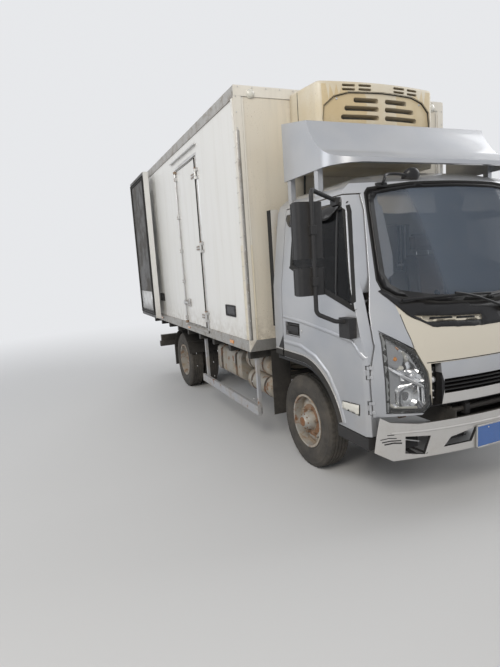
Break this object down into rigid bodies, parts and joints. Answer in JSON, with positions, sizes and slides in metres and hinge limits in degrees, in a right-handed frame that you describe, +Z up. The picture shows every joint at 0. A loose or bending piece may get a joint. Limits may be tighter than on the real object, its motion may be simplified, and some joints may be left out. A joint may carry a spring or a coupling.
{
  "type": "refrigerated truck",
  "caption": "Light cab-over refrigerated truck with a tilting cab, steered front wheels, twin rear wheels, an insulated box with side and rear doors, a cooling unit and a roof deflector.",
  "frame": {"origin": "on the ground, below the centre of the truck's bounding box", "axes": "+X forward, +Y to the truck's left, +Z up"},
  "size_m": [5.995, 2.57, 3.195],
  "materials": {
    "chassis_paint": "black chassis paint under road dust",
    "engine_iron": "oily cast iron",
    "exhaust_steel": "heat-stained steel with surface rust",
    "tank_steel": "grey paint under dust and mud splashes",
    "black_plastic": "faded black plastic",
    "guard_paint": "grey paint with scratches and dust",
    "flap_rubber": "dusty black rubber",
    "bumper_plastic": "silver-white paint, scraped at the right corner",
    "floor_metal": "worn metal floor",
    "box_panel": "white gel-coated panel, dusty in front",
    "portal_metal": "bare stainless frame",
    "unit_housing": "aged cream plastic with brown dust",
    "cab_paint": "silver paint with light dust",
    "lamp_lens": "clear moulded lens",
    "grille_trim": "silver bars with dark gaps",
    "cab_glass": "tinted safety glass with a dusty edge",
    "seat_fabric": "worn grey seat cloth",
    "dash_plastic": "dark grained plastic",
    "tyre_rubber": "worn dusty tyre rubber",
    "rim_paint": "steel wheel with rust and dried mud"
  },
  "bodies": {
    "chassis": {"chassis_frame": "chassis_paint", "front_axle": "chassis_paint", "rear_axle": "chassis_paint", "engine": "engine_iron", "exhaust": "exhaust_steel", "side_tanks": "tank_steel", "battery_box": "black_plastic", "side_guards": "guard_paint", "mudguards": "flap_rubber", "rear_bar": "chassis_paint", "front_bumper": "bumper_plastic", "box_floor": "floor_metal", "box_wall_left": "box_panel", "box_wall_right": "box_panel", "box_front_wall": "box_panel", "box_roof": "box_panel", "rear_frame": "portal_metal", "fridge_unit": "unit_housing", "evaporator": "unit_housing"},
    "box_side_door": {"side_door": "box_panel"},
    "box_rear_door_left": {"rear_door_left": "box_panel"},
    "box_rear_door_right": {"rear_door_right": "box_panel"},
    "cab": {"cab_front": "cab_paint", "headlamps": "lamp_lens", "grille": "grille_trim", "cab_body": "cab_paint", "cab_glass": "cab_glass", "roof_deflector": "cab_paint", "seats": "seat_fabric", "dashboard": "dash_plastic"},
    "door_left": {"cab_door_left": "cab_paint", "door_glass_left": "cab_glass", "mirror_left": "black_plastic"},
    "door_right": {"cab_door_right": "cab_paint", "door_glass_right": "cab_glass", "mirror_right": "black_plastic"},
    "steer_left": {"knuckle_left": "engine_iron"},
    "steer_right": {"knuckle_right": "engine_iron"},
    "wheel_front_left": {"tyre_front_left": "tyre_rubber", "rim_front_left": "rim_paint"},
    "wheel_front_right": {"tyre_front_right": "tyre_rubber", "rim_front_right": "rim_paint"},
    "wheels_rear_left": {"tyres_rear_left": "tyre_rubber", "rims_rear_left": "rim_paint"},
    "wheels_rear_right": {"tyres_rear_right": "tyre_rubber", "rims_rear_right": "rim_paint"}
  },
  "joints": [
    {"name": "cab_tilt", "type": "hinge", "parent": "chassis", "child": "cab", "pos_m": [2.8895, 0, 0.664], "axis": [0, 1, 0], "range_deg": [0, 45]},
    {"name": "door_left_hinge", "type": "hinge", "parent": "cab", "child": "door_left", "pos_m": [2.8182, 0.9357, 0.77], "axis": [0.0217, -0.0261, -0.9994], "range_deg": [0, 70]},
    {"name": "door_right_hinge", "type": "hinge", "parent": "cab", "child": "door_right", "pos_m": [2.8182, -0.9357, 0.77], "axis": [-0.0217, -0.0261, 0.9994], "range_deg": [0, 70]},
    {"name": "rear_door_left_hinge", "type": "hinge", "parent": "chassis", "child": "box_rear_door_left", "pos_m": [-2.9845, 1.178, 2.05], "axis": [0, 0, 1], "range_deg": [0, 270]},
    {"name": "rear_door_right_hinge", "type": "hinge", "parent": "chassis", "child": "box_rear_door_right", "pos_m": [-2.9845, -1.178, 2.05], "axis": [0, 0, -1], "range_deg": [0, 270]},
    {"name": "side_door_hinge", "type": "hinge", "parent": "chassis", "child": "box_side_door", "pos_m": [0.1995, -1.145, 1.95], "axis": [0, 0, 1], "range_deg": [0, 170]},
    {"name": "steer_left_kingpin", "type": "hinge", "parent": "chassis", "child": "steer_left", "pos_m": [1.8275, 0.64, 0.388], "axis": [0, 0, 1], "range_deg": [-35, 35]},
    {"name": "steer_right_kingpin", "type": "hinge", "parent": "chassis", "child": "steer_right", "pos_m": [1.8275, -0.64, 0.388], "axis": [0, 0, 1], "range_deg": [-35, 35]},
    {"name": "front_left_spin", "type": "hinge", "parent": "steer_left", "child": "wheel_front_left", "pos_m": [1.8275, 0.77, 0.388], "axis": [0, 1, 0], "continuous": true},
    {"name": "rear_left_spin", "type": "hinge", "parent": "chassis", "child": "wheels_rear_left", "pos_m": [-1.5325, 0.784, 0.388], "axis": [0, 1, 0], "continuous": true},
    {"name": "front_right_spin", "type": "hinge", "parent": "steer_right", "child": "wheel_front_right", "pos_m": [1.8275, -0.77, 0.388], "axis": [0, 1, 0], "continuous": true},
    {"name": "rear_right_spin", "type": "hinge", "parent": "chassis", "child": "wheels_rear_right", "pos_m": [-1.5325, -0.784, 0.388], "axis": [0, 1, 0], "continuous": true}
  ],
  "couplings": [
    {"joint": "steer_right_kingpin", "follows": "steer_left_kingpin", "ratio": 1}
  ]
}
